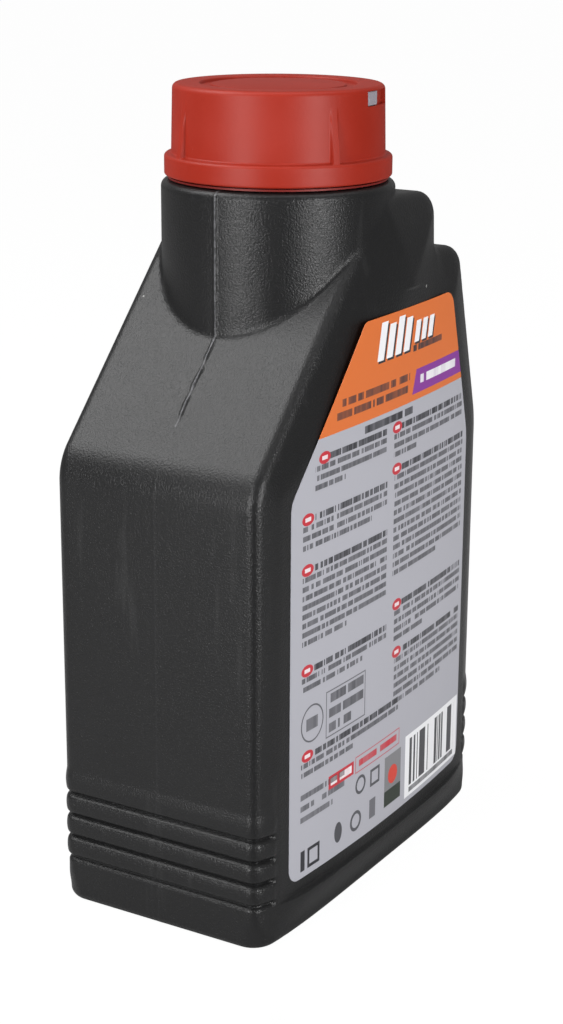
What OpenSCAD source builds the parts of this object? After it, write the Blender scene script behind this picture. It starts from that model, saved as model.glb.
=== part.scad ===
// One-litre blow-moulded oil bottle with a long slope on one side of its neck,
// two shoulders on the other and a two-piece screw cap. Millimetres, +Z up. The
// origin is the middle of the flat base. The narrow side under the slope faces
// -X, and the wide side with the back label faces -Y.

/* [Body] */
// Width of the body between its narrow sides
body_w = 115.2; // [105:0.1:125]
// Depth of the body across its vertical edges
edge_depth = 56; // [50:0.1:64]
// How far each wide side bulges past its edges at mid-width
face_bulge = 5.85; // [3:0.05:8]
// How squarely that bulge rises from the edges, as an exponent
bulge_power = 4.5; // [2:0.1:8]
// Radius of the long edges
edge_r = 3.4; // [2:0.1:6]
// Radius round the foot of the body
base_r = 2.4; // [2.2:0.1:5]
// Depth of the body across its corners at the foot
foot_depth = 59; // [54:0.1:62]
// How far each wide side bulges past those corners there
foot_bulge = 2.4; // [1:0.05:5]
// Corner radius of the body's plan there
foot_corner_r = 7; // [5.5:0.1:10]
// Height over which the foot turns into the body above it
foot_h = 10; // [8:0.1:10.4]
// Height of the hollow under the base
push_up = 1.6; // [0.5:0.1:4]
// Width of the flat rim left round that hollow at the narrow sides
push_up_rim = 8; // [4:0.5:12]
// Corner radius of that hollow
push_up_r = 6; // [3:0.5:12]
// Wall of the blown shell
wall = 1.2; // [0.8:0.1:1.8]

/* [Shoulders] */
// Height of the neck collar's top
collar_z = 180.6; // [170:0.1:195]
// Radius of the neck collar
collar_r = 29.1; // [27:0.1:30]
// Offset of the neck's axis from mid-width
neck_x = -1.2; // [-6:0.1:6]
// Height where the narrow side turns into the slope
slope_z = 117; // [95:0.5:125]
// Angle of the slope above the horizontal
slope_angle = 46.3; // [40:0.1:52]
// Radius of that turn
slope_turn_r = 14; // [4:0.5:25]
// Height where the other narrow side starts to lean in
lean_z = 112; // [90:0.5:130]
// Angle of that lean from the vertical
lean_angle = 15.1; // [8:0.1:20]
// Radius of that turn
lean_turn_r = 30; // [5:1:60]
// Drop from the collar's top to the lower shoulder
step_drop = 20.1; // [14:0.1:26]
// Drop from the collar's top to the upper shoulder above the neck's axis
shoulder_drop = 2.6; // [2:0.1:6]
// Fall of the upper shoulder away from the neck, in degrees
shoulder_fall = 3.5; // [0:0.1:8]
// Space between the collar and the upper shoulder's side
shoulder_reach = 2.5; // [1.5:0.1:6]
// Lean of the upper shoulder's side, in degrees
shoulder_lean = 3.5; // [0:0.1:8]
// Radius of both shoulders' outer corners
shoulder_r = 7; // [3:0.1:9]
// Radius of the corner between the shoulders
inner_corner_r = 3; // [1:0.1:6]
// How much slimmer the upper shoulder is than the body, on each wide side
shoulder_slim = 0.1; // [0.05:0.05:0.5]

/* [Grip grooves] */
// Number of grooves round each narrow side
groove_count = 4; // [1:1:6]
// Height of the lowest groove
groove_z = 12; // [10:0.1:20]
// Distance from one groove to the next
groove_pitch = 5.86; // [4:0.01:8]
// Radius of a groove's section
groove_r = 1.3; // [0.8:0.1:1.8]
// Depth of a groove
groove_depth = 1.05; // [0.5:0.05:1.2]
// Distance from mid-width to where the grooves end
groove_end = 51; // [46:0.5:53]

/* [Label panels] */
// Depth of each panel at mid-width
panel_depth = 0.85; // [0.4:0.05:1.2]
// Fall of the panel towards its ends, across panel_half
panel_fall = 2.5; // [1:0.05:4]
// Distance from mid-width to the panel's ends
panel_half = 51.2; // [47:0.1:54]
// Height of the panel's lower edge
panel_z = 10.5; // [9.5:0.1:16]
// Drop from the lower shoulder to the panel's upper edge
panel_drop = 5.5; // [2:0.1:12]

/* [Labels] */
// Thickness of a label
label_t = 0.12; // [0.05:0.01:0.3]
// Distance from the body's narrow side to the label's upright edge
label_inset = 11.3; // [8:0.1:16]
// Distance from the panel's lower edge to the label
label_foot = 3.7; // [1:0.1:10]
// Distance from the panel's upper edge to the label
label_head = 4.9; // [1:0.1:10]
// Distance from the slope to the label at the panel's mid-height, square to it
label_slope_gap = 10.4; // [6:0.1:15]
// Angle of the label's slanted edge above the horizontal
label_angle = 50.4; // [44:0.1:56]
// Distance from the leaning side to the label, level
label_lean_gap = 13.2; // [8:0.1:18]
// Angle of the label's leaning edge from the vertical
label_lean = 17.8; // [10:0.1:24]
// Radius of the label's lower corners
label_r = 4; // [1:0.5:8]
// Radius where its leaning edge leaves the upright one
label_lean_r = 14; // [4:0.5:20]
// Radius of its upper corner on the leaning side
label_top_r = 5; // [1:0.5:8]
// Radius where its slanted edge leaves the upright one
label_slope_r = 6; // [2:0.5:12]

/* [Neck finish] */
// Height of the collar's rounded rim
collar_rim_r = 1.8; // [0.5:0.1:3]
// Wall of the neck finish
finish_wall = 2.2; // [1.5:0.1:3]
// Depth kept for the screw thread between neck and cap
thread_room = 1.5; // [1:0.1:2.5]
// Height of the locking bead's middle above the collar
bead_lift = 4.6; // [4:0.1:6]
// How far the locking bead stands out
bead_out = 1.1; // [0.6:0.05:1.2]
// Height of the locking bead
bead_h = 1.1; // [0.6:0.1:1.5]

/* [Cap] */
// Radius of the cap's side at its top
cap_r = 26.1; // [25:0.1:28]
// Height of the cap from its band's foot to its top
cap_h = 22.2; // [20:0.1:26]
// How far the side widens from the top down to the band
cap_draft = 0.4; // [0.1:0.05:0.8]
// Wall of the outer cap
cap_wall = 1.5; // [1.2:0.1:2]
// Thickness of the outer cap's top
cap_top_t = 1.7; // [1.4:0.1:2.5]
// Radius round the cap's top edge
cap_edge_r = 1.5; // [0.5:0.1:1.6]
// Radius of the band at the cap's foot
band_r = 28.25; // [27.6:0.05:30]
// Height of the band
band_h = 5.3; // [4.6:0.1:6]
// Wall of the band
band_wall = 2; // [1.6:0.1:2.2]
// Bevel along the band's upper edge
band_bevel = 0.9; // [0.3:0.1:1.4]
// Gap between the collar and the band
band_gap = 1.1; // [0.9:0.1:1.6]
// Radius of the round recess in the cap's top
recess_r = 19.4; // [14:0.1:22]
// Depth of that recess
recess_depth = 0.8; // [0.3:0.1:1]
// Width of the floor between the recess's side and the raised disc
recess_ring = 2.9; // [1:0.1:5]
// Height of the raised disc in the recess
disc_h = 0.5; // [0.2:0.1:0.7]
// Number of grip ribs
rib_count = 4; // [2:1:8]
// Direction of the first rib
rib_angle = 60.9; // [0:0.1:90]
// Thickness of a rib
rib_t = 1.9; // [1:0.1:3]
// Drop from the cap's top to the top of a rib
rib_drop = 5; // [2:0.1:10]

/* [Cap window] */
// Direction of the window's left end
window_start = 265.5; // [200:0.5:300]
// Angle that the window spans
window_span = 27; // [20:0.5:40]
// Angle of the slot through the wall at its left end
slot_span = 13; // [8:0.5:18]
// Height of the window
window_h = 3.6; // [2.5:0.1:4.5]
// Drop from the cap's top to the window
window_drop = 0.8; // [0.6:0.1:2]
// Depth of the window where it isn't a slot
window_depth = 0.9; // [0.4:0.1:1]
// Space at each end of the inner cap's tab in the slot, in degrees
tab_space = 1.5; // [0.5:0.1:3]

/* [Inner cap and seals] */
// Wall of the inner cap
liner_wall = 1.3; // [0.9:0.1:1.8]
// Thickness of the inner cap's top
liner_top_t = 1.2; // [0.8:0.1:2]
// Height of the inner cap
liner_h = 17; // [14:0.1:18]
// Thickness of the sealing wad
wad_t = 1; // [0.6:0.1:2]
// Wall of the tamper ring
ring_wall = 1.1; // [0.8:0.1:1.6]
// Height of the tamper ring above its flange's foot
ring_h = 3; // [2.5:0.1:3.4]
// Thickness of its hooked lip and of its flange
ring_lip_t = 0.45; // [0.3:0.05:0.8]

/* [Fits] */
// Gap between pieces that slide on each other
run_gap = 0.3; // [0.2:0.05:0.5]
// Gap between the outer and the inner cap
cap_gap = 0.15; // [0.1:0.05:0.3]

/* [Hidden] */
$fn = 96;
eps = 0.01;
skin = 0.02;
far = 400;
bar_reach = 24;
shoulder_root = 20;
rib_root = 1;
half_w = body_w / 2;
face_y = edge_depth / 2 + face_bulge;
step_z = collar_z - step_drop;
shoulder_z = collar_z - shoulder_drop;
shoulder_x = neck_x + collar_r + shoulder_reach;
shoulder_foot_z = step_z - shoulder_root;
panel_top = step_z - panel_drop;
panel_mid_y = face_y - panel_depth;
cap_z = collar_z + band_gap;
cap_top = cap_z + cap_h;
cap_inner_r = cap_r - cap_wall;
cap_ceiling = cap_top - cap_top_t;
window_z = cap_top - window_drop - window_h;
slot_h = cap_ceiling - window_z - run_gap;
band_inner_r = band_r - band_wall;
liner_r = cap_inner_r - cap_gap;
liner_inner_r = liner_r - liner_wall;
liner_top = cap_ceiling - cap_gap;
wad_top = liner_top - liner_top_t - cap_gap;
mouth_z = wad_top - wad_t - cap_gap;
finish_r = liner_inner_r - thread_room;
bore_r = finish_r - finish_wall;
bead_z = collar_z + bead_lift;
ring_z = collar_z + run_gap;
ring_r = band_inner_r - run_gap;
arc_steps = 6;
crown_steps = 8;

// Forms of the plan as [depth across the edges, bulge, edge radius]
body_form_sizes = [edge_depth, face_bulge, edge_r];
foot_form_sizes = [foot_depth, foot_bulge, foot_corner_r];

// Half depth of the wide side at a distance d in from the body's edge
function side_y(d, form) = form[0] / 2 + form[1] * (1 - pow(max(0, 1 - d / half_w), bulge_power));

// Slope of that side where the edge's arc runs into it, in degrees
function edge_tilt(form) = atan(form[1] * bulge_power / half_w * pow(1 - form[2] / half_w, bulge_power - 1));

// Quarter section of an edge as [distance in, half depth], drawn in by inset
function edge_section(inset, form = body_form_sizes) =
    let (tilt = edge_tilt(form), end = form[2] * (1 - sin(tilt)), r = max(form[2] - inset, 0.6),
         middle = [inset + r, side_y(end, form) - form[2] * cos(tilt) + form[2] - inset - r])
    concat(
        [for (k = [0:arc_steps])
            let (a = 180 - (90 - tilt) * k / arc_steps) middle + r * [cos(a), sin(a)]],
        [for (k = [1:crown_steps])
            let (d = end + (half_w - end) * pow(k / crown_steps, 1.5))
            if (d > middle.x) [d, side_y(d, form) - inset]]);

function mirror_y(points) = [for (i = [len(points) - 1:-1:0]) [points[i].x, -points[i].y]];
function mirror_x(points) = [for (i = [len(points) - 1:-1:0]) [-points[i].x, points[i].y]];

// Plan of the body, with its middle on the origin
function plan(inset, form = body_form_sizes) =
    let (quarter = [for (p = edge_section(inset, form)) [p.x - half_w, p.y]],
         left = concat(mirror_y(quarter), quarter))
    concat(left, [for (p = mirror_x(left)) if (abs(p.x) > eps) p]);

function unit(v) = v / norm(v);
function turn(a, b) = a.x * b.y - a.y * b.x;

// Corner i of an outline, rounded to radius r
function corner(points, i, r) =
    let (n = len(points), p = points[i],
         a = unit(points[(i + n - 1) % n] - p), b = unit(points[(i + 1) % n] - p),
         half = acos(a * b) / 2, centre = p + unit(a + b) * r / sin(half),
         first = p + a * r / tan(half) - centre, start = atan2(first.y, first.x),
         sweep = (180 - 2 * half) * (turn(a, b) < 0 ? 1 : -1), steps = ceil(abs(sweep) / 9))
    r == 0 ? [p] : [for (k = [0:steps]) centre + r * [cos(start + sweep * k / steps),
                                                      sin(start + sweep * k / steps)]];

// Outline with each corner rounded to its own radius
function rounded(points, radii) = [for (i = [0:len(points) - 1]) each corner(points, i, radii[i])];

// Where the line through p at angle a crosses the line through q at angle b
function crossing(p, a, q, b) =
    let (u = [cos(a), sin(a)], v = [cos(b), sin(b)]) p + u * turn(q - p, v) / turn(u, v);

slope_foot = [-half_w, slope_z];
lean_foot = [half_w, lean_z];
shoulder_point = [neck_x, shoulder_z];
shoulder_side = [shoulder_x, step_z];

// Front outline of the body in X and Z, drawn in by inset
function front_outline(inset) =
    let (slope = slope_foot + inset * [sin(slope_angle), -cos(slope_angle)],
         lean = lean_foot - inset * [cos(lean_angle), sin(lean_angle)],
         top = shoulder_point - inset * [sin(shoulder_fall), cos(shoulder_fall)],
         side = shoulder_side - inset * [cos(shoulder_lean), sin(shoulder_lean)],
         left = [inset - half_w, -1], right = [half_w - inset, -1], step = [0, step_z - inset])
    rounded([left, right,
             crossing(right, 90, lean, 90 + lean_angle),
             crossing(lean, 90 + lean_angle, step, 0),
             crossing(step, 0, side, 90 + shoulder_lean),
             crossing(side, 90 + shoulder_lean, top, -shoulder_fall),
             crossing(top, -shoulder_fall, slope, slope_angle),
             crossing(slope, slope_angle, left, 90)],
            [0, 0, lean_turn_r - inset, shoulder_r - inset, inner_corner_r + inset,
             shoulder_r - inset, 1, slope_turn_r - inset]);

// Outline of a label in X and Z
label_left = label_inset - half_w;
label_right = half_w - label_inset;
label_z = panel_z + label_foot;
label_top = panel_top - label_head;
label_slope_point = [-half_w + label_slope_gap / sin(slope_angle)
                     + (panel_top - slope_z) / 2 / tan(slope_angle), (panel_top + slope_z) / 2];
label_lean_point = [half_w - label_lean_gap - (panel_top - lean_z) / 2 * tan(lean_angle),
                    (panel_top + lean_z) / 2];
label_outline = rounded([[label_left, label_z], [label_right, label_z],
                         crossing([label_right, 0], 90, label_lean_point, 90 + label_lean),
                         crossing([0, label_top], 0, label_lean_point, 90 + label_lean),
                         crossing([0, label_top], 0, label_slope_point, label_angle),
                         crossing([label_left, 0], 90, label_slope_point, label_angle)],
                        [label_r, label_r, label_lean_r, label_top_r, label_top_r / 2, label_slope_r]);

// Places an XZ drawing so that its depth runs along Y, from y outwards
module along_y(y, depth) {
    translate([0, y + depth, 0])
        rotate([90, 0, 0])
            linear_extrude(depth)
                children();
}

// Bar with the section of a long edge, whose outer side runs through a point and
// faces away from the given inward direction. It is slimmer than the body by slim
module edge_bar(point, inward, inset, slim = 0) {
    section = concat([for (p = edge_section(inset)) if (p.x < bar_reach) p - [0, slim]],
                     [[1.4 * bar_reach, face_y - inset - slim], [far, far]]);
    translate([point.x, 0, point.y])
        rotate([0, -inward, 0])
            translate([0, 0, -far])
                linear_extrude(2 * far)
                    polygon(concat(mirror_y(section), section));
}

// Upright body with a rounded foot, before its shoulders are cut
module foot_and_sides(inset) {
    steps = 5;
    r = base_r - inset;
    hull() {
        for (k = [0:steps], a = 90 * k / steps)
            translate([0, 0, base_r - r * cos(a)])
                linear_extrude(eps)
                    polygon(plan(base_r - r * sin(a), foot_form_sizes));
        translate([0, 0, foot_h])
            linear_extrude(far)
                polygon(plan(inset));
    }
}

// Solid of the body inside its skin, drawn in by inset
module body_form(inset) {
    intersection() {
        along_y(-far / 2, far) polygon(front_outline(inset - skin));
        union() {
            intersection() {
                foot_and_sides(inset);
                edge_bar(slope_foot, slope_angle - 90, inset);
                edge_bar(lean_foot, 180 + lean_angle, inset);
                edge_bar([0, step_z], -90, inset);
            }
            intersection() {
                translate([-half_w, -half_w, shoulder_foot_z]) cube([body_w, body_w, body_w]);
                edge_bar(slope_foot, slope_angle - 90, inset);
                edge_bar(shoulder_side, 180 + shoulder_lean, inset, shoulder_slim);
                edge_bar(shoulder_point, -90 - shoulder_fall, inset, shoulder_slim);
            }
        }
    }
}

// Space outside the shallow label panels, drawn in by inset
module panel_cut(inset) {
    steps = 16;
    curve = [for (k = [0:steps]) let (x = panel_half * (2 * k / steps - 1))
        [x, panel_mid_y - panel_fall * pow(x / panel_half, 2) - inset]];
    for (side = [0, 1])
        mirror([0, side, 0])
            translate([0, 0, panel_z - inset])
                linear_extrude(panel_top - panel_z + 2 * inset)
                    polygon(concat(curve, [[panel_half, far], [-panel_half, far]]));
}

// Stepped slots that press the grooves into both narrow sides and round their edges
module grooves(grow) {
    steps = grow > 0 ? 1 : 3;
    out = groove_r - groove_depth;
    for (n = [0:groove_count - 1], side = [0, 1], k = [1:steps])
        let (depth = groove_depth * k / steps + grow,
             reach = out + groove_depth * (k - 0.5) / steps,
             half_h = (grow > 0 ? groove_r : sqrt(groove_r * groove_r - reach * reach)) + 0.7 * grow)
            mirror([side, 0, 0])
                translate([0, 0, groove_z + n * groove_pitch - half_h])
                    linear_extrude(2 * half_h)
                        difference() {
                            translate([groove_end - grow / 2, -body_w]) square([half_w, 2 * body_w]);
                            polygon(plan(depth));
                        }
}

module collar(inset) {
    r = collar_r - inset;
    top = collar_z - inset;
    translate([neck_x, 0, 0])
        rotate_extrude()
            polygon(rounded([[0, 0], [r, 0], [r, top], [0, top]], [0, 0, collar_rim_r - inset, 0]));
}

// Collar above the slope only
module collar_over_body(inset) {
    intersection() {
        collar(inset);
        translate([-half_w, -half_w, slope_z]) cube([body_w, body_w, body_w]);
    }
}

module bottle_body() {
    color([0.1, 0.1, 0.1])
    difference() {
        union() {
            difference() {
                body_form(0);
                panel_cut(0);
                grooves(0);
            }
            collar_over_body(0);
            translate([neck_x, 0, collar_z - wall]) cylinder(h = mouth_z - collar_z + wall, r = finish_r);
            translate([neck_x, 0, bead_z]) cylinder(h = bead_h, r = finish_r + bead_out, center = true);
        }
        difference() {
            union() {
                difference() {
                    body_form(wall);
                    panel_cut(wall);
                    grooves(wall);
                }
                collar_over_body(wall);
            }
            translate([0, 0, wall]) push_up_form(wall);
        }
        push_up_form(0);
        translate([neck_x, 0, collar_z - 3 * wall]) cylinder(h = far, r = bore_r);
    }
}

// Hollow pressed up under the base
module push_up_form(grow) {
    x = half_w - base_r - push_up_rim + grow;
    y = edge_depth / 2 - base_r - push_up_rim / 2 + grow;
    translate([0, 0, -eps])
        linear_extrude(push_up + eps)
            polygon(rounded([[-x, -y], [x, -y], [x, y], [-x, y]], [for (k = [0:3]) push_up_r]));
}

// Ring that stays on the neck, hooked under the locking bead
module tamper_ring() {
    color([0.45, 0.05, 0.04])
    translate([neck_x, 0, ring_z])
        rotate_extrude() {
            translate([ring_r - ring_wall, 0]) square([ring_wall, ring_h]);
            translate([finish_r + run_gap, ring_h - ring_lip_t])
                square([ring_r - finish_r - run_gap, ring_lip_t]);
            translate([ring_r - ring_wall, 0])
                square([band_r - band_bevel - ring_r + ring_wall, ring_lip_t]);
        }
}

// Film that lies on the panel of the -Y side
module label_film() {
    steps = 16;
    curve = [for (k = [0:steps]) let (x = panel_half * (2 * k / steps - 1))
        [x, -panel_mid_y + panel_fall * pow(x / panel_half, 2)]];
    intersection() {
        linear_extrude(collar_z)
            polygon(concat(curve, [for (i = [steps:-1:0]) curve[i] - [0, label_t]]));
        along_y(-far / 2, far / 2) polygon(label_outline);
    }
}

module back_label() {
    color([0.72, 0.72, 0.75]) label_film();
}

module front_label() {
    color([0.91, 0.47, 0.22]) mirror([0, 1, 0]) label_film();
}

// Wedge of the cap's side between two directions, from radius inner outwards
module sector(start, span, inner, z, h) {
    translate([neck_x, 0, z])
        rotate([0, 0, start])
            rotate_extrude(angle = span)
                translate([inner, 0])
                    square([band_r, h]);
}

module outer_cap() {
    recess_h = cap_h - recess_depth;
    disc_r = recess_r - recess_ring;
    ceiling = cap_h - cap_top_t;
    step_h = band_h - cap_wall;
    outside = [[band_r, 0], [band_r, band_h - band_bevel], [band_r - band_bevel, band_h],
               [cap_r + cap_draft, band_h], [cap_r, cap_h], [recess_r, cap_h], [recess_r, recess_h],
               [disc_r, recess_h], [disc_r, recess_h + disc_h], [0, recess_h + disc_h]];
    inside = [[0, ceiling], [cap_inner_r, ceiling], [cap_inner_r, step_h], [band_inner_r, step_h],
              [band_inner_r, 0]];
    profile = concat(outside, inside);
    color([0.74, 0.2, 0.15])
    difference() {
        union() {
            translate([neck_x, 0, cap_z])
                rotate_extrude()
                    polygon(rounded(profile, [for (p = profile) p == [cap_r, cap_h] ? cap_edge_r : 0]));
            for (n = [0:rib_count - 1])
                translate([neck_x, 0, 0])
                    rotate([0, 0, rib_angle + 360 / rib_count * n])
                        translate([0, rib_t / 2, cap_z])
                            rotate([90, 0, 0])
                                linear_extrude(rib_t)
                                    polygon([[cap_r - rib_root, band_h - band_bevel],
                                             [band_r - band_bevel / 3, band_h - band_bevel],
                                             [cap_r + cap_draft, cap_h - rib_drop],
                                             [cap_r - rib_root, cap_h - rib_drop]]);
        }
        sector(window_start, window_span, cap_r - window_depth, window_z, window_h);
        sector(window_start, slot_span, cap_inner_r - rib_root, window_z, slot_h);
    }
}

module inner_cap() {
    color([0.7, 0.68, 0.7])
    difference() {
        union() {
            translate([neck_x, 0, liner_top - liner_h]) cylinder(h = liner_h, r = liner_r);
            intersection() {
                sector(window_start + tab_space, slot_span - 2 * tab_space, liner_r - rib_root,
                       window_z + cap_gap, slot_h - 2 * cap_gap);
                translate([neck_x, 0, window_z]) cylinder(h = window_h, r = cap_r - cap_gap * 3);
            }
        }
        translate([neck_x, 0, liner_top - liner_h - eps])
            cylinder(h = liner_h - liner_top_t + eps, r = liner_inner_r);
    }
}

module sealing_wad() {
    color([0.92, 0.92, 0.9])
    translate([neck_x, 0, wad_top - wad_t]) cylinder(h = wad_t, r = liner_inner_r - run_gap);
}

bottle_body();
tamper_ring();
back_label();
front_label();
outer_cap();
inner_cap();
sealing_wad();
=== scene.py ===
import math

import bmesh
import bpy
import numpy as np
from mathutils import Matrix, Vector


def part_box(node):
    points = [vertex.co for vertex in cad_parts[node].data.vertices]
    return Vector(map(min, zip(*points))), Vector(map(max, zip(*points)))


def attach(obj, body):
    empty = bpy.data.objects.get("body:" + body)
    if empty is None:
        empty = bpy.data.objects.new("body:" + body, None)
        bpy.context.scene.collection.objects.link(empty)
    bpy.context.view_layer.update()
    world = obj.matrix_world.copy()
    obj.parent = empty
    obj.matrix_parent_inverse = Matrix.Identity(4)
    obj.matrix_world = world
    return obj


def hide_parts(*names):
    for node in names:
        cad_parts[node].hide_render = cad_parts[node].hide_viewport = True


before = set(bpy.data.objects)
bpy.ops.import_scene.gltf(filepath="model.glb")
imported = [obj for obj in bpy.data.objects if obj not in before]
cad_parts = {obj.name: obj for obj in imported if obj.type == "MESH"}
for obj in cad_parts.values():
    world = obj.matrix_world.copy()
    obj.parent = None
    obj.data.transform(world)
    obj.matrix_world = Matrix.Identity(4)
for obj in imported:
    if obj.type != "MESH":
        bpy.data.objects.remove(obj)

bl_info = {
    "name": "Fork oil bottle",
    "version": (1, 0, 0),
    "blender": (4, 5, 0),
    "location": "View3D > Sidebar > Oil bottle",
    "description": "Dresses the packed oil bottle: blown shell, screw cap, labels and stage",
    "category": "Object",
}

MM = 0.001
BODY_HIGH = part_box("bottle_body")[1]
CAP_LOW, CAP_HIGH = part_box("outer_cap")
LINER_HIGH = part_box("inner_cap")[1]
LABEL_LOW, LABEL_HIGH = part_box("back_label")
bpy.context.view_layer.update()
NECK_X = (CAP_LOW.x + CAP_HIGH.x) / 2
SEAM_FROM, ROUGH_SEAM_TO = 127 * MM, 148 * MM
GROOVES_FROM, GROOVES_TO = 8 * MM, 38 * MM


def length(name, millimetres, text):
    return bpy.props.FloatProperty(name=name, description=text, default=millimetres * MM,
                                   unit="LENGTH", precision=5)


def angle(name, degrees, text):
    return bpy.props.FloatProperty(name=name, description=text, default=math.radians(degrees),
                                   subtype="ANGLE")


def colour(name, default, text):
    return bpy.props.FloatVectorProperty(name=name, description=text, default=default,
                                         subtype="COLOR", min=0, max=1)


def place(name, default, text):
    return bpy.props.FloatVectorProperty(name=name, description=text, default=default,
                                         subtype="TRANSLATION", precision=5)


def number(name, default, text):
    return bpy.props.FloatProperty(name=name, description=text, default=default)


class ShellSizes(bpy.types.PropertyGroup):
    """Sizes of the blown shell"""
    edge_depth: length("Edge depth", 56, "Depth of the body across its long edges")
    edge_r: length("Edge radius", 3.4, "Radius of the long edges")
    base_r: length("Foot radius", 2.4, "Radius round the foot")
    bulge: length("Bulge", 5.85, "How far each wide side bulges past its edges")
    foot_depth: length("Foot depth", 59, "Depth of the body across its corners at the foot")
    foot_bulge: length("Foot bulge", 2.4, "How far each wide side bulges past those corners")
    foot_corner_r: length("Foot corners", 7, "Corner radius of the body's plan at the foot")
    foot_h: length("Foot height", 10, "Height over which the foot turns into the body")
    rim: length("Rim", 8, "Width of the flat rim round the hollow base")
    wall: length("Wall", 1.2, "Wall of the shell")
    crown_power: number("Crown power", 4.5, "How squarely the wide sides rise from their edges")
    slope_z: length("Slope height", 117, "Height where the narrow side turns into the slope")
    slope_angle: angle("Slope angle", 46.3, "Angle of the slope above the horizontal")
    slope_turn_r: length("Slope turn", 14, "Radius where the narrow side turns into the slope")
    lean_z: length("Lean height", 112, "Height where the other side starts to lean in")
    lean_angle: angle("Lean angle", 15.1, "Lean of that side from the vertical")
    lean_turn_r: length("Lean turn", 30, "Radius of that turn")
    step_z: length("Lower shoulder", 160.5, "Height of the lower shoulder")
    shoulder_z: length("Upper shoulder", 178, "Height of the upper shoulder at the neck's axis")
    shoulder_x: length("Shoulder side", 30.4, "Place of the upper shoulder's side at its foot")
    shoulder_lean: angle("Shoulder lean", 3.5, "Fall of the upper shoulder and lean of its side")
    shoulder_r: length("Shoulder radius", 7, "Radius of both shoulders' outer corners")
    inner_r: length("Inner corner", 3, "Radius of the corner between the shoulders")
    collar_r: length("Collar radius", 29.1, "Radius of the neck collar")
    collar_z: length("Collar height", 180.6, "Height of the neck collar's top")
    collar_rim_r: length("Collar rim", 1.8, "Radius round the collar's rim")
    collar_fillet: length("Collar fillet", 0.7, "Radius where the collar meets the body")
    push_up: length("Hollow base", 1.6, "Height of the hollow under the base")


class DetailSizes(bpy.types.PropertyGroup):
    """Sizes of the panels, grooves and parting seam"""
    panel_depth: length("Panel depth", 0.85, "Depth of each label panel at mid-width")
    panel_fall: length("Panel fall", 2.5, "Fall of the panel towards its ends")
    panel_half: length("Panel half width", 51.2, "Distance from mid-width to the panel's ends")
    panel_z: length("Panel foot", 10.5, "Height of the panel's lower edge")
    panel_top: length("Panel top", 155, "Height of the panel's upper edge")
    panel_edge: length("Panel edge", 1.1, "Width of the panel's soft edge")
    groove_z: length("Lowest groove", 12, "Height of the lowest groove")
    groove_pitch: length("Groove pitch", 5.86, "Distance from one groove to the next")
    groove_depth: length("Groove depth", 1.0, "Depth of a groove")
    groove_half: length("Groove half width", 0.62, "Half width of a groove")
    groove_end: length("Groove end", 50.8, "Distance from mid-width to where the grooves end")
    lobe: length("Lobe", 0.4, "How far the body swells between the grooves")
    seam: length("Seam bead", 0.28, "Height of the parting seam's bead")
    seam_half: length("Seam half width", 0.42, "Half width of the parting seam's bead")


class NeckSizes(bpy.types.PropertyGroup):
    """Sizes of the neck finish and the screw threads"""
    finish_r: length("Finish radius", 21.65, "Radius of the neck finish")
    bore_r: length("Bore radius", 19.45, "Radius of the mouth")
    bead_z: length("Bead height", 185.2, "Height of the locking bead's middle")
    bead_out: length("Bead", 1.1, "How far the locking bead stands out")
    lead: length("Thread lead", 6, "Rise of the screw thread in one turn")
    thread_h: length("Thread height", 1.0, "How far a thread stands out")
    neck_start_z: length("Neck thread start", 188.2, "Height where the neck's thread starts")
    turns: number("Turns", 1.5, "Turns of each thread")


class CapSizes(bpy.types.PropertyGroup):
    """Sizes of the outer cap"""
    top_r: length("Cap radius", 26.1, "Radius of the cap's side at its top")
    draft: length("Draft", 0.4, "How far the side widens down to the band")
    wall: length("Wall", 1.5, "Wall of the cap")
    top_t: length("Top", 1.7, "Thickness of the cap's top")
    edge_r: length("Top edge", 1.3, "Radius round the cap's top edge")
    band_r: length("Band radius", 28.25, "Radius of the band at the cap's foot")
    band_h: length("Band height", 5.3, "Height of the band")
    band_wall: length("Band wall", 2, "Wall of the band")
    recess_r: length("Recess radius", 19.4, "Radius of the round recess in the top")
    recess_depth: length("Recess depth", 0.8, "Depth of that recess")
    ring_w: length("Recess floor", 2.9, "Width of the floor round the raised disc")
    disc_h: length("Disc height", 0.5, "Height of the raised disc")
    rib_angle: angle("First rib", 60.9, "Direction of the first rib")
    rib_t: length("Rib", 1.9, "Thickness of a rib")
    rib_drop: length("Rib drop", 5, "Drop from the cap's top to the top of a rib")
    window_start: angle("Window start", 265.5, "Direction of the window's left end")
    window_span: angle("Window span", 27, "Angle that the window spans")
    slot_span: angle("Slot span", 13, "Angle of the slot through the wall")
    window_h: length("Window height", 3.6, "Height of the window")
    window_drop: length("Window drop", 0.8, "Drop from the cap's top to the window")
    window_depth: length("Window depth", 0.9, "Depth of the window beside the slot")


class LabelSizes(bpy.types.PropertyGroup):
    """Sizes of the label film"""
    film: length("Film", 0.12, "Thickness of the film")
    foot_r: length("Foot corners", 4, "Radius of the lower corners")
    slope_x: length("Slant place", -29.7, "Place of the slanted edge at slant height")
    slope_at: length("Slant height", 132.1, "Height at which that place is measured")
    slope_angle: angle("Slant", 50.4, "Angle of the slanted edge above the horizontal")
    lean_x: length("Lean place", 38.6, "Place of the leaning edge at lean height")
    lean_at: length("Lean height", 133.5, "Height at which that place is measured")
    lean_angle: angle("Lean", 17.8, "Angle of the leaning edge from the vertical")
    field_z: length("Field seam", 125.5, "Height of the seam between the two fields")


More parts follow.
